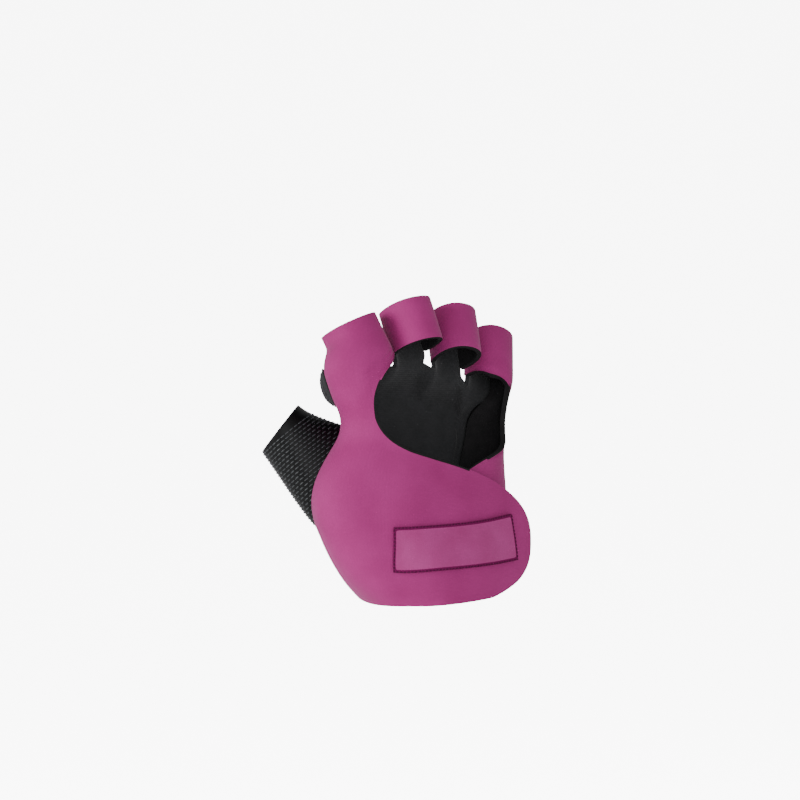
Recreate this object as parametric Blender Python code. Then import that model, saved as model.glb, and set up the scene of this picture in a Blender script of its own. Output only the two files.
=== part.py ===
"""Open-backed fingerless neoprene glove for a right hand, in the form it has when worn.

The fingers point up (+Z), the back of the hand faces -Y, the thumb is at -X and the little
finger at +X. The origin is the centre of the wrist opening. Lengths are in millimetres until
a mesh is made. Angles go round the hand or a finger: 0 at the thumb side, 90 at the back,
180 at the little finger side and 270 at the palm.
"""
import bisect
import math

import bmesh
import bpy
import numpy as np

MM = 0.001

# The hand form that the sheets lie on
PALM_HEIGHT = 105.0
PALM_WIDTH = 80.0
PALM_DEPTH = 36.0
SQUARENESS = 0.1
FRONT_TURN = 30.0

# The sheets and the clearances between them
NEOPRENE = 2.3
PALM_CLOTH = 1.8
SLEEVE_CLOTH = 1.5
PATCH_THICKNESS = 1.1
PAD_THICKNESS = 3.6
CLEARANCE = 0.3
SEAM_GAP = 0.5
PALM_LAP = 3.0
PALM_LAP_RAMP = 5.0

# The finger loops and the thumb
LOOP_BAND = 18.5
LOOP_SIDE = 215.0
LOOP_TURN = 250.0
THUMB_MOUTH_WIDTH = 24.5
THUMB_MOUTH_DEPTH = 23.0
THUMB_HOLE_HEIGHT = 45.0
THUMB_HOLE_ANGLE = 25.0
THUMB_HOLE_CENTRE = -39.0
THUMB_HOLE_MIDDLE = 0.465

# The strap leaves the hand at this angle and runs on nearly straight
STRAP_LEAVES = 118.0
STRAP_STRAIGHTNESS = 0.75
STRAP_CLIMB_START = 52.0
STRAP_CLIMB_END = 82.0

# Heights and lengths across are shares of PALM_HEIGHT and PALM_WIDTH, depths of PALM_DEPTH.
# Columns: height, centre across, half width, back depth, palm depth, centre depth, twist.
FORM = [
    (-0.04, -0.010, 0.325, 0.510, 0.510, 0.000, 0.0),
    (0.00, -0.015, 0.340, 0.510, 0.510, 0.000, 0.0),
    (0.05, -0.040, 0.392, 0.510, 0.520, 0.000, 0.0),
    (0.14, -0.078, 0.449, 0.500, 0.550, 0.000, 0.0),
    (0.24, -0.112, 0.489, 0.485, 0.580, 0.000, 0.0),
    (0.33, -0.137, 0.513, 0.470, 0.580, 0.008, 0.0),
    (0.43, -0.140, 0.520, 0.460, 0.565, 0.016, 1.0),
    (0.53, -0.110, 0.488, 0.445, 0.530, 0.028, 2.0),
    (0.63, -0.057, 0.453, 0.430, 0.475, 0.042, 3.0),
    (0.70, -0.049, 0.453, 0.415, 0.430, 0.056, 4.0),
    (0.81, -0.076, 0.495, 0.402, 0.390, 0.064, 5.0),
    (0.90, -0.096, 0.528, 0.390, 0.360, 0.070, 6.0),
    (1.00, -0.116, 0.556, 0.375, 0.347, 0.070, 6.0),
    (1.15, -0.140, 0.570, 0.360, 0.340, 0.075, 6.0),
]

# Finger loops. Centre across, depth and height at the middle of the band, lean of the finger
# to the side and towards the palm for each unit up, roll, half sizes of the outer face, and
# the band as a share of LOOP_BAND. The sheets turn from the palm to the finger between two
# heights below the middle of the band.
# Columns: name, across, depth, height, side lean, palm lean, roll, half width, half depth,
# band, turn start, turn end.
FINGERS = [
    ("index", -0.427, 0.100, 0.985, -0.36, 0.33, -8.0, 0.148, 0.345, 1.00, 0.110, -0.060),
    ("middle", -0.144, 0.000, 1.060, -0.15, 0.36, 2.0, 0.127, 0.335, 1.00, 0.270, 0.095),
    ("ring", 0.130, 0.090, 1.022, 0.15, 0.52, 12.0, 0.121, 0.315, 1.12, 0.280, 0.105),
    ("little", 0.385, 0.240, 0.938, 0.36, 0.60, 18.0, 0.120, 0.290, 1.12, 0.260, 0.090),
]

# The index loop's wall between the fingers turns in a lower and shorter stretch
SIDE_WALL_TURN = (0.200, 0.100)
SIDE_WALL_ANGLES = (95.0, 150.0, 240.0, 320.0)

# The seams between the back and the palm. Columns: height, angle.
THUMB_SEAM = [
    (0.00, -39.0), (0.30, -39.0), (0.66, -39.0), (0.675, -39.0), (0.69, -37.5),
    (0.73, -27.5), (0.79, -17.0), (0.90, -14.0), (1.00, -18.0), (1.20, -24.0),
]
LITTLE_SEAM = [(0.00, 222.0), (0.60, 222.0), (0.80, 220.0), (1.20, 226.0)]


def smooth_step(share):
    """Ease from 0 to 1."""
    share = min(max(share, 0.0), 1.0)
    return share * share * (3.0 - 2.0 * share)


def smooth_curve(stations, values):
    """Stations, values and slopes of a smooth curve through the values."""
    stations = [float(station) for station in stations]
    values = np.asarray(values, dtype=float)
    return stations, values, np.gradient(values, stations, axis=0)


def curve_value(curve, place):
    """Read a smooth curve, straight beyond its ends."""
    stations, values, slopes = curve
    if place <= stations[0]:
        return values[0] + slopes[0] * (place - stations[0])
    if place >= stations[-1]:
        return values[-1] + slopes[-1] * (place - stations[-1])
    index = bisect.bisect_left(stations, place) - 1
    span = stations[index + 1] - stations[index]
    share = (place - stations[index]) / span
    start, end = values[index], values[index + 1]
    leave, arrive = slopes[index] * span, slopes[index + 1] * span
    return (start * (1.0 + 2.0 * share) * (1.0 - share) ** 2 + leave * share * (1.0 - share) ** 2
            + end * share * share * (3.0 - 2.0 * share) + arrive * share * share * (share - 1.0))


def oval(angle, half_width, back_depth, palm_depth):
    """A squarish oval: how far to the little finger side and how far to the palm."""
    turn = math.radians(angle)
    cosine, sine = math.cos(turn), math.sin(turn)
    depth = back_depth if sine > 0.0 else palm_depth
    across = -half_width * cosine * (1.0 + SQUARENESS * sine * sine)
    back = -depth * sine * (1.0 + SQUARENESS * cosine * cosine)
    return across, back


SCALE = np.array([PALM_WIDTH, PALM_WIDTH, PALM_DEPTH, PALM_DEPTH, PALM_DEPTH, 1.0])
THUMB_SEAM_CURVE = smooth_curve(*zip(*THUMB_SEAM))
LITTLE_SEAM_CURVE = smooth_curve(*zip(*LITTLE_SEAM))
FORM_CURVE = smooth_curve([row[0] for row in FORM], [row[1:] for row in FORM] * SCALE)


def form_point(angle, height):
    """A point on the skin of the hand."""
    row = curve_value(FORM_CURVE, height / PALM_HEIGHT)
    centre, half_width, back_depth, palm_depth, depth, twist = row
    across, back = oval(angle, half_width, back_depth, palm_depth)
    turn = math.radians(twist)
    return np.array([centre + across * math.cos(turn) - back * math.sin(turn),
                     depth + across * math.sin(turn) + back * math.cos(turn), height])


def finger_frame(name):
    """Centre, side, back and up directions of a finger loop, its inner half sizes and its band."""
    row = next(row for row in FINGERS if row[0] == name)
    _, across, depth, height, side_lean, palm_lean, roll, half_width, half_depth, band, *_ = row
    centre = np.array([across * PALM_WIDTH, depth * PALM_DEPTH, height * PALM_HEIGHT])
    up = np.array([side_lean, palm_lean, 1.0])
    up /= np.linalg.norm(up)
    turn = math.radians(roll)
    side = np.array([math.cos(turn), math.sin(turn), 0.0])
    side -= up * side.dot(up)
    side /= np.linalg.norm(side)
    back = np.cross(side, up)
    half_sizes = half_width * PALM_WIDTH - NEOPRENE, half_depth * PALM_DEPTH - NEOPRENE
    return centre, side, back, up, half_sizes, band * LOOP_BAND


FRAMES = {row[0]: finger_frame(row[0]) for row in FINGERS}


def finger_point(name, angle, height):
    """A point on the skin of a finger, by its height above the wrist."""
    centre, side, back, up, (half_width, half_depth), _ = FRAMES[name]
    across, palm = oval(angle, half_width, half_depth, half_depth)
    return centre + side * across - back * palm + up * (height - centre[2])


def turn_share(middle, height, turn_start, turn_end):
    """How far a sheet has turned, between two heights below the middle of a band."""
    return smooth_step(((height - middle) / PALM_HEIGHT + turn_start) / (turn_start - turn_end))


def finger_share(name, height, angle=0.0):
    """How far a sheet has turned from the palm to the finger at a height."""
    *_, turn_start, turn_end = next(row for row in FINGERS if row[0] == name)
    middle = FRAMES[name][0][2]
    share = turn_share(middle, height, turn_start, turn_end)
    if name == "index":
        first, full, fade, last = SIDE_WALL_ANGLES
        wall = min(smooth_step((angle - first) / (full - first)),
                   smooth_step((last - angle) / (last - fade)))
        share += (turn_share(middle, height, *SIDE_WALL_TURN) - share) * wall
    return share


def mixed_point(name, form_angle, finger_angle, height):
    """A point that lies on the palm low down and on a finger higher up."""
    share = finger_share(name, height, finger_angle)
    if share <= 0.0:
        return form_point(form_angle, height)
    finger = finger_point(name, finger_angle, height)
    if share >= 1.0:
        return finger
    return form_point(form_angle, height) * (1.0 - share) + finger * share


def table_value(table, height):
    """Read a two-column table at a height."""
    return float(curve_value(table, height / PALM_HEIGHT))


# The index loop goes round its finger faster than the panel goes round the hand
INDEX_SPREAD = 1.8
LITTLE_SPREAD = 2.2


def index_finger_angle(angle, height):
    """Turn an angle on the back panel into one round the index finger."""
    seam = table_value(THUMB_SEAM_CURVE, height)
    return seam + (angle - seam) * INDEX_SPREAD


def little_finger_angle(angle, height):
    """Turn an angle on the little panel into one round the little finger."""
    seam = table_value(LITTLE_SEAM_CURVE, height)
    return seam - (seam - angle) * LITTLE_SPREAD


def strap_lift(angle):
    """The strap climbs over the tab that it closes on."""
    climb = (angle - STRAP_CLIMB_START) / (STRAP_CLIMB_END - STRAP_CLIMB_START)
    return (NEOPRENE + CLEARANCE) * smooth_step(climb)


def normal_at(surface, angle, height):
    """The outward direction of a surface."""
    step = 0.25
    along = surface(angle + step, height) - surface(angle - step, height)
    rise = surface(angle, height + step) - surface(angle, height - step)
    normal = np.cross(along, rise)
    return normal / np.linalg.norm(normal)


def raised(surface, angle, height, out):
    """A point at a distance above a surface."""
    return surface(angle, height) + normal_at(surface, angle, height) * out


def panel_skin(angle, height):
    """The skin under the back panel: the thumb side of the hand and the index finger."""
    return mixed_point("index", angle, index_finger_angle(angle, height), height)


def back_surface(angle, height):
    """The inner face of the back panel and the strap."""
    if angle <= STRAP_CLIMB_START or finger_share("index", height) > 0.0:
        return panel_skin(angle, height)
    hugging = raised(panel_skin, angle, height, strap_lift(angle))
    if angle <= STRAP_LEAVES:
        return hugging
    step = 1.0
    leave = raised(panel_skin, STRAP_LEAVES, height, strap_lift(STRAP_LEAVES))
    before = raised(panel_skin, STRAP_LEAVES - step, height, strap_lift(STRAP_LEAVES - step))
    straight = leave + (leave - before) / step * (angle - STRAP_LEAVES)
    share = STRAP_STRAIGHTNESS * smooth_step((angle - STRAP_LEAVES) / 20.0)
    return hugging * (1.0 - share) + straight * share


def little_surface(angle, height):
    """The inner face of the little panel: its side of the hand and the little finger."""
    return mixed_point("little", angle, little_finger_angle(angle, height), height)


FURTHEST_ANGLE = 230.0
VIEW_RIGHT = np.array([math.cos(math.radians(FRONT_TURN)), -math.sin(math.radians(FRONT_TURN)), 0.0])


def angle_seen(surface, across, height, out, high):
    """The angle where a sheet stands this far to the right, seen from the front."""
    low = -10.0
    for _ in range(20):
        middle = (low + high) / 2.0
        if raised(surface, middle, height, out).dot(VIEW_RIGHT) < across * PALM_WIDTH:
            low = middle
        else:
            high = middle
    return (low + high) / 2.0


def place_seen(surface, across, height, out, high=FURTHEST_ANGLE):
    """The place on a sheet, as angle and height, that is seen here from the front."""
    target = height * PALM_HEIGHT
    level = target
    angle = 0.0
    for _ in range(4):
        angle = angle_seen(surface, across, level, out, high)
        level += target - raised(surface, angle, level, out)[2]
    return angle, level


def hole_edge(height, side):
    """Angle of the thumb hole's edge, or of the seam above and below the hole."""
    seam = table_value(THUMB_SEAM_CURVE, height)
    reach = 1.0 - ((height - THUMB_HOLE_MIDDLE * PALM_HEIGHT) / (THUMB_HOLE_HEIGHT / 2.0)) ** 2
    if reach <= 0.0:
        return seam
    edge = THUMB_HOLE_CENTRE + side * THUMB_HOLE_ANGLE * math.sqrt(reach)
    return max(edge, seam) if side > 0 else min(edge, seam)


def seam_turn(surface, angle, height, distance=SEAM_GAP / 2.0):
    """The angle that a distance round a sheet takes: half the gap at a seam, or as given."""
    step = surface(angle + 0.5, height) - surface(angle - 0.5, height)
    return distance / np.linalg.norm(step)


# Steps along the thumb seam: below the hole, beside it, above it and up the index loop
HEM_STEPS = 5
HOLE_STEPS = 12
SEAM_STEPS = 9
LOOP_STEPS = 8
WEB_HEIGHT = -0.56
OPENING_LIMIT = 82.0

# The free edge of the back panel, from the hem round the strap's end and up the opening.
# Columns: height at the seam, distance across and height where the row ends, sag of the row.
STRAP_ROWS = [
    (0.045, 0.306, 0.015, -0.040), (0.080, 0.402, 0.054, -0.022), (0.115, 0.444, 0.086, -0.010),
    (0.160, 0.480, 0.132, 0.0), (0.210, 0.495, 0.194, 0.0), (0.255, 0.492, 0.267, 0.0),
    (0.300, 0.474, 0.330, 0.0), (0.345, 0.430, 0.385, 0.0), (0.390, 0.357, 0.439, 0.0),
    (0.430, 0.269, 0.482, 0.0), (0.470, 0.169, 0.515, 0.0), (0.510, 0.041, 0.547, 0.0),
    (0.550, -0.075, 0.570, 0.0), (0.590, -0.179, 0.600, 0.0), (0.628, -0.250, 0.644, 0.0),
    (0.668, -0.290, 0.700, 0.0), (0.712, -0.301, 0.762, 0.0), (0.755, -0.285, 0.829, 0.0),
    (0.790, -0.252, 0.884, 0.0),
]

# The index loop's own edge. Heights are above the middle of the band, as shares of the band.
# Columns: height at the seam, finger angle and height where the row ends.
INDEX_ROWS = [
    (-0.90, 132.0, -0.52), (-0.74, 154.0, -0.49), (-0.58, 177.0, -0.45), (-0.43, 199.0, -0.39),
    (-0.28, LOOP_SIDE, -0.30), (-0.04, LOOP_SIDE, -0.05), (0.22, LOOP_SIDE, 0.22),
    (0.50, LOOP_SIDE, 0.50),
]

# The wrist tab and the strip above it, which end hidden under the strap or at the side.
# Columns: height at the seam, angle and height where the row ends.
TAB_ROWS = [
    (0.020, 92.0, 0.045), (0.070, 87.0, 0.090), (0.130, 86.0, 0.160), (0.200, 86.0, 0.240),
    (0.270, 87.0, 0.320),
]

# Columns: height at the seam, distance across and height where the row ends.
TAB_TOP_ROWS = [
    (0.335, 0.012, 0.400), (0.400, 0.100, 0.471), (0.455, 0.184, 0.513), (0.505, 0.281, 0.557),
]
STRIP_ROWS = [
    (0.560, 163.0, 0.605), (0.610, 169.0, 0.655), (0.660, 170.0, 0.710), (0.705, 170.0, 0.765),
    (0.740, 166.0, 0.812),
]
LITTLE_LOOP_FOOT_ROWS = [(0.770, 0.292, 0.872), (0.800, 0.209, 0.896)]
LITTLE_ROWS = [
    (-0.42, -35.0, -0.46), (-0.15, -35.0, -0.17), (0.17, -35.0, 0.17), (0.50, -35.0, 0.50),
]


def refined(rows, count):
    """Read a smooth run of rows between the chosen ones."""
    curve = smooth_curve(range(len(rows)), rows)
    return [curve_value(curve, place) for place in np.linspace(0, len(rows) - 1, count + 1)]


def seam_heights(hem):
    """Heights along the thumb seam that the back panel and the palm share above their hems."""
    low = THUMB_HOLE_MIDDLE * PALM_HEIGHT - THUMB_HOLE_HEIGHT / 2.0
    turns = np.linspace(-math.pi / 2.0, math.pi / 2.0, HOLE_STEPS + 1)
    hole = [low + THUMB_HOLE_HEIGHT * (1.0 + math.sin(turn)) / 2.0 for turn in turns]
    middle, band = FRAMES["index"][0][2], FRAMES["index"][5]
    web, top = middle + WEB_HEIGHT * band, middle + band / 2.0
    below = np.linspace(hem, low, HEM_STEPS + 1)[:-1]
    above = np.linspace(hole[-1], web, SEAM_STEPS + 1)[1:]
    loop = np.linspace(web, top, LOOP_STEPS + 1)[1:]
    return [*below, *hole, *above, *loop]


def rows_at(rows, heights):
    """Read a smooth run of rows at these heights of their left ends."""
    fine = refined(rows, 600)
    columns = np.array(fine).T
    return [[float(np.interp(height, columns[1], column)) for column in columns]
            for height in heights]


def material(name, colour, roughness):
    """A plain Principled material."""
    found = bpy.data.materials.new(name)
    found.use_nodes = True
    shader = found.node_tree.nodes["Principled BSDF"]
    shader.inputs["Base Color"].default_value = (*colour, 1.0)
    shader.inputs["Roughness"].default_value = roughness
    shader.inputs["Metallic"].default_value = 0.0
    return found


def finish(name, mesh, materials):
    """Turn a closed bmesh in millimetres into an object in metres."""
    bmesh.ops.recalc_face_normals(mesh, faces=mesh.faces)
    bmesh.ops.scale(mesh, vec=(MM, MM, MM), verts=mesh.verts)
    data = bpy.data.meshes.new(name)
    mesh.to_mesh(data)
    mesh.free()
    for item in materials:
        data.materials.append(item)
    data.shade_smooth()
    data.set_sharp_from_angle(angle=math.radians(50.0))
    placed = bpy.data.objects.new(name, data)
    bpy.context.scene.collection.objects.link(placed)
    return placed


def thickened(name, columns, rows, place, materials, left_out=None):
    """A sheet with two faces: place gives a point from shares along, up and 0 in or 1 out."""
    mesh = bmesh.new()
    bmesh.ops.create_grid(mesh, x_segments=columns, y_segments=rows, size=1.0)
    for corner in mesh.verts:
        corner.co = ((corner.co.x + 1.0) / 2.0, (corner.co.y + 1.0) / 2.0, 0.0)
    if left_out:
        gone = [face for face in mesh.faces if left_out(face.calc_center_median())]
        bmesh.ops.delete(mesh, geom=gone, context="FACES")
    shares = {corner: tuple(corner.co.xy) for corner in mesh.verts}
    inner_faces = list(mesh.faces)
    made = bmesh.ops.extrude_face_region(mesh, geom=inner_faces, use_keep_orig=True)
    outer = {item for item in made["geom"] if isinstance(item, bmesh.types.BMVert)}
    for corner in mesh.verts:
        along, up = corner.co.x, corner.co.y
        corner.co = place(along, up, 1 if corner in outer else 0)
    outer_faces = {item for item in made["geom"] if isinstance(item, bmesh.types.BMFace)}
    for face in mesh.faces:
        face.material_index = 0 if face in outer_faces else 1
    return finish(name, mesh, materials)


def row_sheet(name, surface, rows, columns, materials, low=0.0, high=NEOPRENE):
    """A sheet from rows of left angle, left height, right angle, right height and sag."""
    count = len(rows) - 1

    def place(along, up, side):
        left, left_height, right, right_height, sag = rows[round(up * count)]
        angle = left + (right - left) * along
        height = left_height + (right_height - left_height) * along
        height += sag * 4.0 * along * (1.0 - along)
        top = high(along, up) if callable(high) else high
        return raised(surface, angle, height, top if side else low)

    return thickened(name, columns, count, place, materials)


def back_panel_rows():
    """Rows of the back panel from the hem to the top of the index loop."""
    rows = []
    for seam_height, across, end_height, sag in STRAP_ROWS:
        limit = OPENING_LIMIT if across < 0.0 else FURTHEST_ANGLE
        angle, height = place_seen(back_surface, across, end_height, NEOPRENE, limit)
        rows.append((0.0, seam_height * PALM_HEIGHT, angle, height, sag * PALM_HEIGHT))
    middle, band = FRAMES["index"][0][2], FRAMES["index"][5]
    for seam_height, finger_angle, end_height in INDEX_ROWS:
        height = middle + end_height * band
        seam = table_value(THUMB_SEAM_CURVE, height)
        angle = seam + (finger_angle - seam) / INDEX_SPREAD
        rows.append((0.0, middle + seam_height * band, angle, height, 0.0))
    fine = rows_at(rows, seam_heights(rows[0][1]))
    for row in fine:
        edge = hole_edge(row[1], 1.0)
        row[0] = edge + seam_turn(panel_skin, edge, row[1])
    return fine


def little_panel_rows():
    """Rows of the little panel from the hem to the top of the little finger loop."""
    rows = []
    for seam_height, angle, height in TAB_ROWS:
        rows.append((angle, height * PALM_HEIGHT, 0.0, seam_height * PALM_HEIGHT, 0.0))
    for seam_height, across, height in TAB_TOP_ROWS:
        seen = place_seen(little_surface, across, height, NEOPRENE)
        rows.append((*seen, 0.0, seam_height * PALM_HEIGHT, 0.0))
    for seam_height, angle, height in STRIP_ROWS:
        rows.append((angle, height * PALM_HEIGHT, 0.0, seam_height * PALM_HEIGHT, 0.0))
    for seam_height, across, height in LITTLE_LOOP_FOOT_ROWS:
        seen = place_seen(little_surface, across, height, NEOPRENE)
        rows.append((*seen, 0.0, seam_height * PALM_HEIGHT, 0.0))
    middle, band = FRAMES["little"][0][2], FRAMES["little"][5]
    for seam_height, finger_angle, end_height in LITTLE_ROWS:
        height = middle + end_height * band
        seam = table_value(LITTLE_SEAM_CURVE, height)
        angle = seam - (seam - finger_angle) / LITTLE_SPREAD
        rows.append((angle, height, 0.0, middle + seam_height * band, 0.0))
    fine = refined(rows, 34)
    for row in fine:
        seam = table_value(LITTLE_SEAM_CURVE, row[3])
        row[2] = seam - seam_turn(little_surface, seam, row[3])
    return fine


def finger_band(name, node, materials):
    """A band over the back and the sides of one finger."""
    middle, band = FRAMES[name][0][2], FRAMES[name][5]

    def surface(angle, height):
        return finger_point(name, angle, height)

    low, high = middle - band / 2.0, middle + band / 2.0
    left = LOOP_SIDE - LOOP_TURN
    rows = [(left, low, LOOP_SIDE, low, 0.0), (left, high, LOOP_SIDE, high, 0.0)]
    return row_sheet(node, surface, refined(rows, 4), 26, materials)


# The palm's columns, from the little finger side. Each finger has a tongue.
# Columns: finger, first share, last share, first finger angle, last finger angle, and the
# height of the web beside it as a share of the band.
TONGUES = [
    ("little", 0.000, 0.125, 222.0, 321.0, -0.64),
    ("ring", 0.155, 0.350, LOOP_SIDE, 325.0, -0.62),
    ("middle", 0.380, 0.530, LOOP_SIDE, 325.0, -0.82),
    ("index", 0.560, 1.000, LOOP_SIDE, 342.0, WEB_HEIGHT),
]
TONGUE_CELLS = 5
PALM_ROWS = HEM_STEPS + HOLE_STEPS + SEAM_STEPS + LOOP_STEPS
WEB_ROW = PALM_ROWS - LOOP_STEPS
PALM_HEM = 0.022
TONGUE_GAP = 2.4
LITTLE_TONGUE_LAP = 22.0
PALM_SEAM_HEIGHTS = seam_heights(PALM_HEM * PALM_HEIGHT)


def palm_column(along):
    """The tongue of a column of the palm's grid, and its place along the tongue."""
    cells = along * (4 * TONGUE_CELLS + 3)
    index = min(int((cells + 0.5) // (TONGUE_CELLS + 1)), 3)
    return TONGUES[index], (cells - index * (TONGUE_CELLS + 1)) / TONGUE_CELLS


def lap_lift(distance):
    """The palm climbs over the little panel's edge; distance goes inward from the seam."""
    return (NEOPRENE + CLEARANCE) * smooth_step((PALM_LAP_RAMP - distance) / (PALM_LAP_RAMP - 1.0))


def palm_point(finger, share, finger_angle, height):
    """A point on the skin of the palm, or of a finger's palm side."""
    seam = table_value(LITTLE_SEAM_CURVE, height)
    first = seam - seam_turn(little_surface, seam, height, PALM_LAP)
    last = hole_edge(height, -1.0)
    last += 360.0 - seam_turn(panel_skin, last, height)
    return mixed_point(finger, first + (last - first) * share, finger_angle, height)


def palm_place(along, up, side):
    """A point of the palm panel."""
    (finger, first_share, last_share, first_angle, last_angle, web_height), share = palm_column(along)
    middle, band = FRAMES[finger][0][2], FRAMES[finger][5]
    web = middle + web_height * band
    row = round(up * PALM_ROWS)
    hem, seam_web = PALM_SEAM_HEIGHTS[0], PALM_SEAM_HEIGHTS[WEB_ROW]
    if row <= WEB_ROW:
        height = hem + (PALM_SEAM_HEIGHTS[row] - hem) * (web - hem) / (seam_web - hem)
    else:
        height = web + (0.5 - web_height) * band * (row - WEB_ROW) / LOOP_STEPS

    def surface(place, level):
        first, last = first_angle, last_angle
        if finger == "little":
            first = table_value(LITTLE_SEAM_CURVE, level) - LITTLE_TONGUE_LAP
        if finger == "index":
            last = 360.0 + table_value(THUMB_SEAM_CURVE, level)
        angle = first + TONGUE_GAP + (last - first - 2.0 * TONGUE_GAP) * place
        return palm_point(finger, first_share + (last_share - first_share) * place, angle, level)

    point = surface(share, height)
    along_step, height_step = 0.02, 0.3
    across = surface(share + along_step, height) - surface(share - along_step, height)
    rise = surface(share, height + height_step) - surface(share, height - height_step)
    normal = np.cross(across, rise)
    out = PALM_CLOTH if side else 0.0
    if finger == "little":
        edge = surface(0.0, height)
        out += lap_lift(np.linalg.norm(point - edge) - PALM_LAP)
    return point + normal / np.linalg.norm(normal) * out


def web_cell(centre):
    """The cells between two tongues, above the webs of the fingers."""
    cell = int(centre.x * (4 * TONGUE_CELLS + 3))
    return cell % (TONGUE_CELLS + 1) == TONGUE_CELLS and centre.y * PALM_ROWS > WEB_ROW


# The pad across the finger bases, on the palm. Columns: angle and height at each end.
PAD_ROWS = [(238.0, 0.655, 337.0, 0.765), (236.0, 0.720, 340.0, 0.835), (238.0, 0.785, 339.0, 0.905)]


def pad_thickness(along, up):
    """A pillow shape with thin edges."""
    ends = 1.0 - abs(2.0 * along - 1.0) ** 10
    sides = 1.0 - abs(2.0 * up - 1.0) ** 3
    edge = 0.25
    return PALM_CLOTH + CLEARANCE + PAD_THICKNESS * (edge + (1.0 - edge) * ends * sides)


# The patch on the strap. Columns: distance across and height at the left and right ends.
PATCH_ROWS = [
    (-0.211, 0.118, 0.424, 0.156), (-0.211, 0.205, 0.411, 0.247), (-0.211, 0.292, 0.391, 0.337),
]
PATCH_SAG = -0.012


def patch_rows():
    """Rows of the patch, placed where they are seen on the strap."""
    out = NEOPRENE + CLEARANCE + PATCH_THICKNESS
    rows = []
    for left, left_height, right, right_height in PATCH_ROWS:
        start = place_seen(back_surface, left, left_height, out)
        end = place_seen(back_surface, right, right_height, out)
        rows.append((*start, *end, PATCH_SAG * PALM_HEIGHT))
    return rows


# The thumb sleeve's mouth. Across, depth and height of its centre
THUMB_MOUTH_CENTRE = (-0.733, 0.683, 0.668)
THUMB_LEAN = (-0.654, 0.756)
MOUTH_LEAN = (0.611, 0.793)
SLEEVE_BULGE = 17.0
SLEEVE_FOOT_RISE = 1.8


def sleeve_place(along, up, side):
    """A point of the thumb sleeve: along goes round it and up goes from the palm to the mouth."""
    turn = 2.0 * math.pi * along
    inset = CLEARANCE if side else CLEARANCE + SLEEVE_CLOTH
    height = THUMB_HOLE_MIDDLE * PALM_HEIGHT
    reach = THUMB_HOLE_ANGLE - seam_turn(panel_skin, THUMB_HOLE_CENTRE, height, inset)
    angle = THUMB_HOLE_CENTRE + reach * math.cos(turn)
    height += (THUMB_HOLE_HEIGHT / 2.0 - inset) * math.sin(turn)
    foot = raised(form_point, angle, height, SLEEVE_FOOT_RISE * max(math.sin(turn), 0.0))
    leave = normal_at(form_point, angle, height) * SLEEVE_BULGE * (0.65 - 0.35 * math.sin(turn))
    forward = np.cross(np.array([0.0, 0.0, 1.0]), VIEW_RIGHT)
    lean = VIEW_RIGHT * THUMB_LEAN[0] + np.array([0.0, 0.0, THUMB_LEAN[1]])
    centre = np.array(THUMB_MOUTH_CENTRE) * (PALM_WIDTH, PALM_DEPTH, PALM_HEIGHT)
    long_way = VIEW_RIGHT * MOUTH_LEAN[0] + np.array([0.0, 0.0, MOUTH_LEAN[1]])
    wall = 0.0 if side else SLEEVE_CLOTH
    mouth = centre + long_way * (THUMB_MOUTH_WIDTH / 2.0 - wall) * math.sin(turn)
    mouth -= forward * (THUMB_MOUTH_DEPTH / 2.0 - wall) * math.cos(turn)
    arrive = lean * SLEEVE_BULGE
    back = 1.0 - up
    return (foot * (1.0 + 2.0 * up) * back ** 2 + leave * up * back ** 2
            + mouth * up * up * (3.0 - 2.0 * up) + arrive * up * up * (up - 1.0))


def thumb_sleeve(materials, rows=8):
    """A flared tube from the thumb hole to the mouth."""
    around = 2 * HOLE_STEPS
    mesh = bmesh.new()
    rings = []
    for side in (1, 0):
        for row in range(rows + 1):
            up = row / rows
            rings.append([mesh.verts.new(sleeve_place(step / around, up, side))
                          for step in range(around)])
    outer, inner = rings[:rows + 1], rings[rows + 1:]
    order = outer + inner[::-1]
    for row, ring in enumerate(order):
        following = order[(row + 1) % len(order)]
        for step in range(around):
            ahead = (step + 1) % around
            face = mesh.faces.new((ring[step], ring[ahead], following[ahead], following[step]))
            face.material_index = 0 if row < rows else 1
    return finish("thumb_sleeve", mesh, materials)


def main():
    """Build the glove."""
    for item in list(bpy.data.objects):
        bpy.data.objects.remove(item, do_unlink=True)
    jersey = material("magenta_jersey", (0.42, 0.09, 0.24), 0.75)
    foam = material("black_foam", (0.02, 0.02, 0.022), 0.9)
    cloth = material("black_palm_cloth", (0.025, 0.025, 0.028), 0.7)
    grip = material("embossed_thumb_cloth", (0.02, 0.02, 0.022), 0.5)
    patch = material("patch_cloth", (0.25, 0.06, 0.16), 0.6)
    neoprene = [jersey, foam]
    row_sheet("back_panel", back_surface, back_panel_rows(), 24, neoprene)
    row_sheet("little_panel", little_surface, little_panel_rows(), 14, neoprene)
    finger_band("middle", "middle_loop", neoprene)
    finger_band("ring", "ring_loop", neoprene)
    thickened("palm_panel", 4 * TONGUE_CELLS + 3, PALM_ROWS, palm_place, [cloth, foam], web_cell)
    pad = [(left, low * PALM_HEIGHT, right, high * PALM_HEIGHT, 0.0)
           for left, low, right, high in PAD_ROWS]
    row_sheet("palm_pad", form_point, refined(pad, 6), 20, [cloth, cloth], PALM_CLOTH + CLEARANCE,
              pad_thickness)
    low = NEOPRENE + CLEARANCE
    row_sheet("label_patch", back_surface, refined(patch_rows(), 4), 18, [patch, patch], low,
              low + PATCH_THICKNESS)
    thumb_sleeve([grip, foam])


main()
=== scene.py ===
"""The looks of an open-backed fingerless neoprene glove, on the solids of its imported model."""
import math

import bmesh
import bpy
from mathutils import Matrix, Vector
from mathutils.bvhtree import BVHTree


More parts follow.
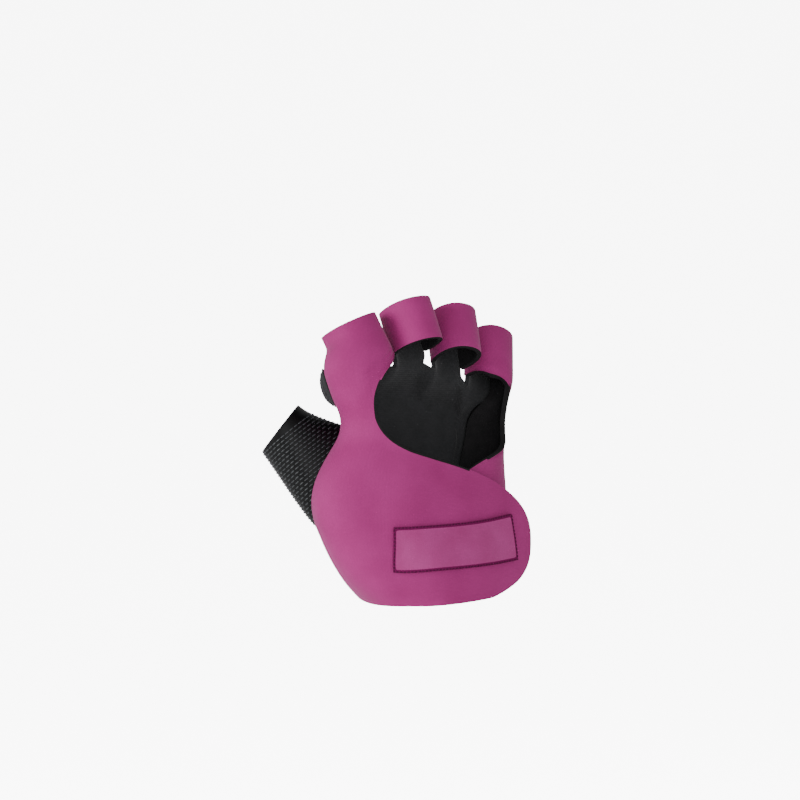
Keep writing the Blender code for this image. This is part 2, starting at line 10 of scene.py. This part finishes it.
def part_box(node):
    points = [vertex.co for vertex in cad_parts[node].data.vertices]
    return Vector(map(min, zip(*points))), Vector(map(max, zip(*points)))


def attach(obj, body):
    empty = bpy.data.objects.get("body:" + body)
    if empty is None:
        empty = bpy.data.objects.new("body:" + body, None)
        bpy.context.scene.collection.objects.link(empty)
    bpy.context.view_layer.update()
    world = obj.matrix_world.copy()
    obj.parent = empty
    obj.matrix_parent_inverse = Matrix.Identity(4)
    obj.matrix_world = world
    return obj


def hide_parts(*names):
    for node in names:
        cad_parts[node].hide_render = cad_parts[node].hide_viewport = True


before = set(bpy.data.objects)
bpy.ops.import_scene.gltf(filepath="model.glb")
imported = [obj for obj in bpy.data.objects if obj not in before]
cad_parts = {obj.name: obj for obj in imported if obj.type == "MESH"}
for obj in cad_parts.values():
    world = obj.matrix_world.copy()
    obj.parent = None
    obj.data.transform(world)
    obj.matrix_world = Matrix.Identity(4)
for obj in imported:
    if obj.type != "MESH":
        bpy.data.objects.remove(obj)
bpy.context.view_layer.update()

# Back panel.
# One sheet of 2.3 mm neoprene: black foam rubber with magenta knitted jersey glued to its outer
# face. It makes the index finger's loop, the thumb side and the wrist strap with its round end.
# It is die cut, so every free edge shows the black foam.

# The sheet, the rounding of its cut edges and the line of black foam that shows beside them.
NEOPRENE = 0.0023
EDGE_ROUND = 0.0005
FOAM_SHOWS = 0.0008
# A sewn edge is drawn up to a sheet that is this near, and stops this short of it.
SEAM_REACH = 0.0011
SEAM_CLEARANCE = 0.00005
# A face that swells has its full height this far inside its edges.
CROWN_REACH = 0.007
# The ribs of the knit as drawn, and the length after which a wave texture of scale 1 repeats.
KNIT_WALE = 0.0009
WAVE_LENGTH = 0.314
# The shares of a noise between which one dyed colour goes over into the next.
CLOUDS_FROM = 0.25
CLOUDS_TO = 0.75
# The cloth map is rolled off a cylinder of this radius.
GLOVE_RADIUS = 0.034
# How the model's solids are read: corners so near are one corner, a ray starts so far under a
# face and goes through a sheet within so many times its thickness, a face that turns less than
# this goes on across an edge, and triangles that turn less than this make one quad.
SAME_PLACE = 0.00001
UNDER_FACE = 0.00001
MOST_THROUGH = 1.5
SHARP_TURN = math.radians(50.0)
QUAD_TURN = math.radians(60.0)
# How often crowded corners are evened out.
EVENING_STEPS = 4
# Further than any place on the glove, for boxes with an open side.
FAR = 1.0


def linear(hex_colour):
    """Turn an sRGB hex colour into a linear one."""
    parts = [int(hex_colour[place:place + 2], 16) / 255.0 for place in (0, 2, 4)]
    return [part / 12.92 if part <= 0.04045 else ((part + 0.055) / 1.055) ** 2.4
            for part in parts] + [1.0]


def new_material(name, colour, roughness, **sockets):
    """A material with one shader, and the settings that are the same all over."""
    made = bpy.data.materials.new(name)
    made.use_nodes = True
    shader = made.node_tree.nodes["Principled BSDF"]
    shader.inputs["Base Color"].default_value = linear(colour)
    shader.inputs["Roughness"].default_value = roughness
    for socket, value in sockets.items():
        shader.inputs[socket.replace("_", " ")].default_value = value
    return made


def add_node(made, kind, settings=None, inputs=None, links=None):
    """Add a node with its settings, input values and links to its inputs."""
    node = made.node_tree.nodes.new(kind)
    for name, value in (settings or {}).items():
        setattr(node, name, value)
    for name, value in (inputs or {}).items():
        node.inputs[name].default_value = value
    for name, source in (links or {}).items():
        made.node_tree.links.new(source, node.inputs[name])
    return node


def into_shader(made, name, source):
    """Link an output to the shader."""
    shader = made.node_tree.nodes["Principled BSDF"]
    made.node_tree.links.new(source, shader.inputs[name])


def mottled(made, first, second, size):
    """Cloudy change between two close colours, as dyed cloth has; size is that of a cloud."""
    coordinates = add_node(made, "ShaderNodeTexCoord")
    cloud = add_node(made, "ShaderNodeTexNoise", inputs={"Scale": 1.0 / size, "Detail": 3.0},
                     links={"Vector": coordinates.outputs["Object"]})
    ramp = add_node(made, "ShaderNodeValToRGB", links={"Fac": cloud.outputs["Fac"]})
    ramp.color_ramp.elements[0].position = CLOUDS_FROM
    ramp.color_ramp.elements[1].position = CLOUDS_TO
    ramp.color_ramp.elements[0].color = linear(first)
    ramp.color_ramp.elements[1].color = linear(second)
    into_shader(made, "Base Color", ramp.outputs["Color"])


def knit_relief(made, wale, depth, grain):
    """Knitted ribs along the sheet and a fine fuzz over them, as relief."""
    flat = add_node(made, "ShaderNodeUVMap", {"uv_map": "cloth"})
    ribs, rows = [add_node(made, "ShaderNodeTexWave",
                           {"wave_type": "BANDS", "bands_direction": direction},
                           {"Scale": WAVE_LENGTH / wale, "Distortion": 0.6, "Detail": 1.0,
                            "Detail Scale": 2.0},
                           {"Vector": flat.outputs["UV"]})
                  for direction in "XY"]
    weave = add_node(made, "ShaderNodeMath", {"operation": "MULTIPLY"},
                     links={0: ribs.outputs["Fac"], 1: rows.outputs["Fac"]})
    place = add_node(made, "ShaderNodeTexCoord")
    fuzz = add_node(made, "ShaderNodeTexNoise", inputs={"Scale": 1.0 / grain, "Detail": 4.0},
                    links={"Vector": place.outputs["Object"]})
    height = add_node(made, "ShaderNodeMath", {"operation": "ADD"},
                      links={0: weave.outputs[0], 1: fuzz.outputs["Fac"]})
    relief = add_node(made, "ShaderNodeBump", inputs={"Strength": 0.5, "Distance": depth},
                      links={"Height": height.outputs[0]})
    into_shader(made, "Normal", relief.outputs["Normal"])


# Nylon jersey, warp knitted and dyed: matt with a soft sheen, and faintly cloudy. Its wales are
# about 0.4 mm and are drawn 0.9 mm wide, the finest that shows.
jersey = new_material("magenta_nylon_jersey", "902468", 0.75, Sheen_Weight=0.1,
                      Sheen_Roughness=0.4, Specular_IOR_Level=0.25)
mottled(jersey, "8A1F60", "98296D", size=0.018)
knit_relief(jersey, KNIT_WALE, depth=0.00007, grain=0.0007)

# Chloroprene foam rubber, split from a block and cut: black and matt. Its cells are about 0.2 mm
# and are drawn 0.5 mm wide, the finest that shows.
foam = new_material("black_neoprene_foam", "141214", 0.85, Specular_IOR_Level=0.2)
mottled(foam, "0F0E10", "1A181A", size=0.004)
knit_relief(foam, wale=0.0012, depth=0.00008, grain=0.0005)


def sides_of(mesh, thickness):
    """Split a sheet's faces into the outer face, the inner face and the rim between them: the
    two largest smooth faces that have the sheet's thickness, and what joins their corners."""
    tree = BVHTree.FromBMesh(mesh)
    flat = set()
    for face in mesh.faces:
        start = face.calc_center_median() - face.normal * UNDER_FACE
        through = tree.ray_cast(start, -face.normal)[3]
        if through is not None and through < thickness * MOST_THROUGH:
            flat.add(face)
    left, groups = set(flat), []
    while left:
        start = left.pop()
        group, waiting = [start], [start]
        while waiting:
            for edge in waiting.pop().edges:
                if edge.calc_face_angle(math.pi) < SHARP_TURN:
                    for face in edge.link_faces:
                        if face in left:
                            left.discard(face)
                            group.append(face)
                            waiting.append(face)
        groups.append(group)
    groups.sort(key=lambda group: -sum(face.calc_area() for face in group))
    side_of = {corner: side for side in (0, 1) for face in groups[side] for corner in face.verts}
    unknown = [corner for corner in mesh.verts if corner not in side_of]
    while unknown:
        for corner in unknown:
            known = [edge for edge in corner.link_edges if edge.other_vert(corner) in side_of]
            if known:
                nearest = min(known, key=lambda edge: edge.calc_length())
                side_of[corner] = side_of[nearest.other_vert(corner)]
        unknown = [corner for corner in unknown if corner not in side_of]
    sides = ([], [], [])
    for face in mesh.faces:
        touched = {side_of[corner] for corner in face.verts}
        sides[2 if len(touched) == 2 else touched.pop()].append(face)
    return sides


def unwrap(mesh, centre):
    """A cloth map in metres, round the glove and up it, cut on the far side of the piece."""
    cloth = mesh.loops.layers.uv.new("cloth")
    start = math.atan2(centre.y, centre.x)
    for face in mesh.faces:
        for corner in face.loops:
            turn = math.atan2(corner.vert.co.y, corner.vert.co.x) - start
            turn = (turn + math.pi) % (2.0 * math.pi) - math.pi
            corner[cloth].uv = (turn * GLOVE_RADIUS, corner.vert.co.z)


def solid_copy(node, thickness):
    """A merged copy of one of the model's solids, in quads, with its outer face, inner face and
    rim."""
    mesh = bmesh.new()
    mesh.from_mesh(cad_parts[node].data)
    bmesh.ops.remove_doubles(mesh, verts=mesh.verts, dist=SAME_PLACE)
    for side, faces in enumerate(sides_of(mesh, thickness)):
        for face in faces:
            face.material_index = side
    bmesh.ops.join_triangles(mesh, faces=mesh.faces, cmp_materials=True,
                             angle_face_threshold=QUAD_TURN, angle_shape_threshold=math.pi,
                             topology_influence=2.0)
    mesh.normal_update()
    return [mesh] + [[face for face in mesh.faces if face.material_index == side]
                     for side in range(3)]


def finished(name, mesh, materials, levels=2):
    """Make the piece: smooth, subdivided, at the origin."""
    data = bpy.data.meshes.new(name)
    mesh.to_mesh(data)
    mesh.free()
    for made in materials:
        data.materials.append(made)
    data.shade_smooth()
    piece = bpy.data.objects.new(name, data)
    bpy.context.scene.collection.objects.link(piece)
    if levels:
        smooth = piece.modifiers.new("smooth", "SUBSURF")
        smooth.levels = smooth.render_levels = levels
    return piece


def solid_tree(*nodes):
    """For finding the nearest place on some of the model's solids."""
    points, faces = [], []
    for node in nodes:
        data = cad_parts[node].data
        start = len(points)
        points.extend(corner.co.copy() for corner in data.vertices)
        faces.extend([start + index for index in face.vertices] for face in data.polygons)
    return BVHTree.FromPolygons(points, faces)


def sew_edges(rim, neighbours):
    """Draw a cut edge up to the sheets that it is sewn to."""
    tree = solid_tree(*neighbours)
    for corner in {corner for face in rim for corner in face.verts}:
        place, _, _, distance = tree.find_nearest(corner.co, SEAM_REACH)
        if place is not None and distance > SEAM_CLEARANCE:
            corner.co = corner.co.lerp(place, 1.0 - SEAM_CLEARANCE / distance)


def cloth_sheet(node, name, outside, inside, thickness, edge_round=EDGE_ROUND, edge_shows=None,
                strip=FOAM_SHOWS, sewn_to=(), crowded=None, crown=0.0):
    """A laminated sheet: cloth outside, lining inside, and rounded cut edges. edge_shows picks the
    places where a line of the inside stuff shows along the outer edge, crowded those where the
    sheet is evened out. crown is how far the middle of its outer face swells."""
    mesh, outer, _, rim = solid_copy(node, thickness)
    edge_corners = {corner for face in rim for corner in face.verts}
    if crowded:
        loose = [corner for corner in mesh.verts
                 if corner not in edge_corners and crowded(corner.co)]
        for _ in range(EVENING_STEPS):
            bmesh.ops.smooth_vert(mesh, verts=loose, factor=0.5, use_axis_x=True, use_axis_y=True,
                                  use_axis_z=True)
    if sewn_to:
        sew_edges(rim, sewn_to)
    if crown:
        edge_places = [corner.co.copy() for corner in edge_corners]
        swollen = [(corner, corner.normal.copy()) for corner in
                   {corner for face in outer for corner in face.verts}]
        for corner, normal in swollen:
            reach = min((corner.co - place).length for place in edge_places) / CROWN_REACH
            corner.co += normal * crown * (1.0 - (1.0 - min(reach, 1.0)) ** 2)
    for face in mesh.faces:
        face.material_index = 1
    for face in outer:
        face.material_index = 0
    rim = set(rim)
    corners = []
    for edge in mesh.edges:
        faces = set(edge.link_faces)
        if faces & rim and (faces - rim or edge.calc_face_angle(0.0) > SHARP_TURN):
            corners.append(edge)
    bmesh.ops.bevel(mesh, geom=corners, offset=edge_round, offset_type="OFFSET", segments=2,
                    profile=0.5, affect="EDGES", material=1, clamp_overlap=True)
    outer = [face for face in mesh.faces if face.material_index == 0]
    border = {face for edge in mesh.edges for face in edge.link_faces
              if len({beside.material_index for beside in edge.link_faces}) == 2
              and face.material_index == 1}
    if edge_shows:
        made = bmesh.ops.inset_region(mesh, faces=outer, thickness=strip, use_boundary=True)
        border.update(made["faces"])
    for face in border:
        shown = edge_shows and edge_shows(face.calc_center_median())
        face.material_index = 1 if shown else 0
    low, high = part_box(node)
    unwrap(mesh, (Vector(low) + Vector(high)) / 2.0)
    piece = finished(name, mesh, [outside, inside])
    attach(piece, "root")
    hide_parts(node)
    return piece


def within(low, high):
    """A test of whether a place lies in a box."""
    return lambda place: all(least < at < most for least, at, most in zip(low, place, high))


# Beside the opening over the back, below the index loop, and round the corner between the two.
at_opening = within((-0.036, -FAR, 0.0545), (FAR, 0.012, 0.088))
at_index_web = within((-0.038, -FAR, 0.085), (FAR, 0.002, 0.100))
back_panel = cloth_sheet("back_panel", "back_panel_neoprene", jersey, foam, NEOPRENE,
                         edge_shows=at_opening, crowded=at_index_web)

# Middle and ring finger loops.
# Each is a short band of the same neoprene, bent into an arch and sewn at both ends to the
# palm's tongues.
for loop_node in ("middle_loop", "ring_loop"):
    loop = cloth_sheet(loop_node, loop_node + "_neoprene", jersey, foam, NEOPRENE)

# Little finger panel.
# One sheet of the same neoprene: the little finger's loop, the narrow strip down that side, and
# the wrist tab that the strap closes over.

# Beside the opening over the back and under the loop, and round the corner between the two.
at_strip = within((0.016, -FAR, 0.050), (FAR, 0.004, 0.098))
at_little_web = within((-FAR, -FAR, 0.088), (0.030, FAR, 0.102))
little_panel = cloth_sheet("little_panel", "little_panel_neoprene", jersey, foam, NEOPRENE,
                           edge_shows=at_strip, crowded=at_little_web)

# Palm panel.
# One sheet of black synthetic suede, sewn to the neoprene all round, with four tongues that
# close the finger loops.
PALM_CLOTH = 0.0018
PALM_EDGE_ROUND = 0.0004
NEOPRENE_NODES = ("back_panel", "little_panel", "middle_loop", "ring_loop")

# Polyester microfibre, needled and sanded to a short nap: matt black, and a little greyer where
# the nap stands up. The fibres are too fine to show, so the nap is drawn in tufts of 0.4 mm.
suede = new_material("black_synthetic_suede", "1C1C1E", 0.9, Sheen_Weight=0.1)
mottled(suede, "151618", "222225", size=0.006)
knit_relief(suede, wale=0.0008, depth=0.0001, grain=0.0004)
palm_panel = cloth_sheet("palm_panel", "palm_panel_suede", suede, suede, PALM_CLOTH,
                         PALM_EDGE_ROUND, sewn_to=NEOPRENE_NODES)

# Palm seams.
# A row of lockstitch in polyester thread, just inside the palm's edge, wherever it is sewn to
# the neoprene.
STITCH_PITCH = 0.0026
STITCH_LENGTH = 0.0021
THREAD = 0.0005
SEAM_INSET = 0.0017
# A stitch lies on a surface that is this near, and its middle stands so many threads above it.
SURFACE_WITHIN = 0.004
STITCH_STANDS = 0.1
# The palm is sewn where neoprene is this near, and beside the seam rather than ahead of it.
SEWN_WITHIN = 0.0035
MOST_AHEAD = 0.6


def outline(node, thickness):
    """The corners round a sheet's outer face, in order, each with a place inside the face."""
    mesh, outer, _, _ = solid_copy(node, thickness)
    outer = set(outer)
    edges = [edge for edge in mesh.edges if len(set(edge.link_faces) & outer) == 1]
    beside = {}
    for edge in edges:
        for corner in edge.verts:
            beside.setdefault(corner, []).append(edge.other_vert(corner))
    corner = max(beside, key=lambda item: item.co.z)
    loop, seen = [], set()
    while corner is not None:
        seen.add(corner)
        faces = [face for face in corner.link_faces if face in outer]
        inward = sum((face.calc_center_median() for face in faces), Vector()) / len(faces)
        loop.append((corner.co.copy(), inward))
        corner = next((item for item in beside[corner] if item not in seen), None)
    mesh.free()
    return loop


def seam_line(node, thickness, inset, pitch):
    """Places at an even pitch round a sheet, at an inset from its edge, each with the way that
    the seam runs there."""
    line = [corner + (inward - corner).normalized() * inset
            for corner, inward in outline(node, thickness)]
    places, left = [], pitch / 2.0
    for start, end in zip(line, line[1:] + line[:1]):
        length = (end - start).length
        while left < length:
            places.append((start.lerp(end, left / length), (end - start).normalized()))
            left += pitch
        left -= length
    return places


def stitches(name, seam, surface, length, thread, material, node):
    """Short beads of thread at a seam's places, half sunk into a surface."""
    tree = BVHTree.FromObject(surface, bpy.context.evaluated_depsgraph_get())
    bead = bmesh.new()
    bmesh.ops.create_uvsphere(bead, u_segments=8, v_segments=6, radius=0.5)
    shape = bpy.data.meshes.new("stitch")
    bead.to_mesh(shape)
    bead.free()
    mesh = bmesh.new()
    for place, along in seam:
        spot, normal, _, _ = tree.find_nearest(place, SURFACE_WITHIN)
        if spot is None:
            continue
        side = normal.cross(along).normalized()
        ahead = side.cross(normal).normalized()
        turn = Matrix((ahead, side, normal)).transposed().to_4x4()
        sizes = Matrix.Diagonal((length, thread, thread, 1.0))
        laid = shape.copy()
        laid.transform(Matrix.Translation(spot + normal * thread * STITCH_STANDS) @ turn @ sizes)
        mesh.from_mesh(laid)
        bpy.data.meshes.remove(laid)
    bpy.data.meshes.remove(shape)
    piece = finished(name, mesh, [material], 0)
    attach(piece, "root")
    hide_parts(node)


# Polyester sewing thread, twisted and dyed: dark grey, with a little more shine than the suede.
black_thread = new_material("black_polyester_thread", "2B2B2E", 0.5)
neoprene_tree = solid_tree(*NEOPRENE_NODES)
sewn = []
for place, along in seam_line("palm_panel", PALM_CLOTH, SEAM_INSET, STITCH_PITCH):
    beside = neoprene_tree.find_nearest(place, SEWN_WITHIN)[0]
    if beside is not None and abs((beside - place).normalized().dot(along)) < MOST_AHEAD:
        sewn.append((place, along))
stitches("palm_seam_stitches", sewn, palm_panel, STITCH_LENGTH, THREAD, black_thread, "palm_panel")

# Palm pad.
# A bar of foam under the same suede, across the palm below the tongues. It is plump in the
# middle and sewn down round its edge.
PAD = 0.0036
PAD_CROWN = 0.0016
PAD_SEAM_INSET = 0.0022
palm_pad = cloth_sheet("palm_pad", "palm_pad_suede", suede, suede, PAD, crown=PAD_CROWN)
pad_line = seam_line("palm_pad", PAD, PAD_SEAM_INSET, STITCH_PITCH)
stitches("palm_pad_stitches", pad_line, palm_pad, STITCH_LENGTH, THREAD, black_thread, "palm_pad")

# Thumb sleeve.
# A flared tube of black coated cloth, embossed with short raised dashes in staggered rows. It
# is sewn in between the back panel and the palm.
SLEEVE_CLOTH = 0.0015
# Two places on its axis, and the plain hem at its mouth.
SLEEVE_FOOT = Vector((-0.043, 0.013, 0.047))
SLEEVE_MOUTH = Vector((-0.0586, 0.0246, 0.0701))
SLEEVE_HEM = 0.0035
DASH_LENGTH = 0.0024
DASH_WIDTH = 0.0006
DASH_ROW_PITCH = 0.0015
DASHES_ROUND = 30
DASHES_BELOW_FOOT = 0.016
# Each dash is found by a ray from outside the sleeve, on cloth that faces outwards.
SLEEVE_CLEAR = 0.05
LEAST_OUTWARD = 0.35

# Polyurethane-coated cloth, pressed with a pattern: almost black, with a dull shine.
grip_cloth = new_material("embossed_black_coated_cloth", "050506", 0.45, Specular_IOR_Level=0.15)
mottled(grip_cloth, "040405", "060607", size=0.005)
# The same coating where it is pressed up into dashes and rubbed smoother. Its dark grey, lighter
# than the cloth, is a painted highlight: it stands in for the light that the dashes catch.
dash_painted_highlight = new_material("grey_dashes_painted_highlight", "2A2D30", 0.35)
thumb_sleeve = cloth_sheet("thumb_sleeve", "thumb_sleeve_cloth", grip_cloth, foam, SLEEVE_CLOTH)
sleeve_axis = (SLEEVE_MOUTH - SLEEVE_FOOT).normalized()
sleeve_side = sleeve_axis.cross(Vector((0.0, 0.0, 1.0))).normalized()
sleeve_up = sleeve_side.cross(sleeve_axis)
sleeve_tree = BVHTree.FromObject(thumb_sleeve, bpy.context.evaluated_depsgraph_get())
sleeve_length = (SLEEVE_MOUTH - SLEEVE_FOOT).length
dashes = []
row = 0
reach = -DASHES_BELOW_FOOT
while reach < sleeve_length - SLEEVE_HEM:
    for step in range(DASHES_ROUND):
        turn = 2.0 * math.pi * (step + 0.5 * (row % 2)) / DASHES_ROUND
        outward = sleeve_side * math.cos(turn) + sleeve_up * math.sin(turn)
        start = SLEEVE_FOOT + sleeve_axis * reach + outward * SLEEVE_CLEAR
        spot, normal, _, distance = sleeve_tree.ray_cast(start, -outward)
        if spot is None or distance > SLEEVE_CLEAR:
            continue
        if normal.dot(outward) > LEAST_OUTWARD:
            dashes.append((spot, sleeve_axis.cross(normal).normalized()))
    row += 1
    reach += DASH_ROW_PITCH
stitches("thumb_sleeve_dashes", dashes, thumb_sleeve, DASH_LENGTH, DASH_WIDTH, dash_painted_highlight,
         "thumb_sleeve")

# Label patch.
# A bare patch of magenta cloth with a thin foam under it, lighter than the strap, and sewn down
# all round.
PATCH = 0.0011
PATCH_EDGE_ROUND = 0.0003
# The width of the groove beside the seam, drawn as a strip of painted shade inside the patch's
# edge.
PATCH_SHADED_GROOVE = 0.0004
PATCH_STITCH_PITCH = 0.0015
PATCH_STITCH = 0.0012
PATCH_THREAD = 0.0006

# Polyester tricot, smoother than the strap's jersey: a lighter and slightly greyer magenta.
patch_cloth = new_material("magenta_patch_cloth", "98306F", 0.65, Sheen_Weight=0.1,
                           Specular_IOR_Level=0.25)
mottled(patch_cloth, "922A68", "9E3676", size=0.012)
knit_relief(patch_cloth, KNIT_WALE, depth=0.0001, grain=0.0006)
# The same cloth, darkened as painted shade for the shadow in the groove where the seam pinches it
# in. It colours a strip all round the patch's edge, its cut edge and its underside.
patch_groove_painted_shade = new_material("magenta_patch_seam_painted_shade", "640F45", 0.9, Specular_IOR_Level=0.1)
# The patch's outer face has a strip of that painted shade all round its edge.
label_patch = cloth_sheet("label_patch", "label_patch_cloth", patch_cloth, patch_groove_painted_shade, PATCH,
                          PATCH_EDGE_ROUND, edge_shows=lambda place: True, strip=PATCH_SHADED_GROOVE)
# Polyester sewing thread, dyed a deep magenta: a row of dark dots in the groove.
dark_thread = new_material("dark_magenta_thread", "480A32", 0.8, Specular_IOR_Level=0.1)
patch_line = seam_line("label_patch", PATCH, PATCH_SHADED_GROOVE, PATCH_STITCH_PITCH)
stitches("label_patch_stitches", patch_line, label_patch, PATCH_STITCH, PATCH_THREAD, dark_thread,
         "label_patch")

# Floor, light and camera.
# A white floor well below the glove and a lit white backdrop behind it, under soft studio
# light. The camera looks level at the back of the glove, from the thumb side.
SEEN_TURN = math.radians(30.0)
CAMERA_DISTANCE = 1.6
LEVEL_SEEN = 0.0816
ACROSS_SEEN = -0.0143
PICTURE_WIDTH = 0.3265
SENSOR_WIDTH = 36.0
FLOOR_LEVEL = -0.35
FLOOR_SIZE = 8.0
BACKDROP_DISTANCE = 2.4
BACKDROP_SIZE = 1.6
WORLD_LIGHT = 0.6
LIGHTS_AIM = Vector((0.0, 0.0, 0.06))
WHITE = (1.0, 1.0, 1.0, 1.0)
seen_right = Vector((math.cos(SEEN_TURN), -math.sin(SEEN_TURN), 0.0))
seen_forward = Vector((math.sin(SEEN_TURN), math.cos(SEEN_TURN), 0.0))

# Matt white studio paper, and the same paper lit from behind, which leaves no shadow on it.
paper = new_material("white_paper", "FBFBFB", 0.9)
bpy.ops.mesh.primitive_plane_add(size=FLOOR_SIZE, location=(0.0, 0.0, FLOOR_LEVEL))
floor = bpy.context.active_object
floor.name = "floor"
floor.data.materials.append(paper)

lit_paper = new_material("lit_white_paper", "FFFFFF", 1.0, Emission_Color=WHITE,
                         Emission_Strength=7.0)
bpy.ops.mesh.primitive_plane_add(size=BACKDROP_SIZE, location=seen_forward * BACKDROP_DISTANCE,
                                 rotation=(math.radians(90.0), 0.0, -SEEN_TURN))
backdrop = bpy.context.active_object
backdrop.name = "backdrop"
backdrop.data.materials.append(lit_paper)

world = bpy.data.worlds.new("studio")
world.use_nodes = True
world.node_tree.nodes["Background"].inputs["Color"].default_value = WHITE
world.node_tree.nodes["Background"].inputs["Strength"].default_value = WORLD_LIGHT
bpy.context.scene.world = world


def soft_light(name, across, towards, up, size, power):
    """A square light that points at the glove; its place is as seen by the camera."""
    lamp = bpy.data.lights.new(name, "AREA")
    lamp.size = size
    lamp.energy = power
    placed = bpy.data.objects.new(name, lamp)
    placed.location = seen_right * across - seen_forward * towards + Vector((0.0, 0.0, up))
    aim = LIGHTS_AIM - placed.location
    placed.rotation_euler = aim.to_track_quat("-Z", "Y").to_euler()
    bpy.context.scene.collection.objects.link(placed)


soft_light("key", across=-1.3, towards=0.7, up=0.35, size=0.7, power=21.0)
soft_light("fill", across=0.2, towards=1.3, up=0.2, size=0.8, power=8.0)

camera_data = bpy.data.cameras.new("camera")
camera_data.sensor_width = SENSOR_WIDTH
camera_data.lens = SENSOR_WIDTH * CAMERA_DISTANCE / PICTURE_WIDTH
camera_data.clip_end = 20.0
camera = bpy.data.objects.new("camera", camera_data)
camera.location = (seen_right * ACROSS_SEEN - seen_forward * CAMERA_DISTANCE
                   + Vector((0.0, 0.0, LEVEL_SEEN)))
camera.rotation_euler = seen_forward.to_track_quat("-Z", "Y").to_euler()
bpy.context.scene.collection.objects.link(camera)
bpy.context.scene.camera = camera
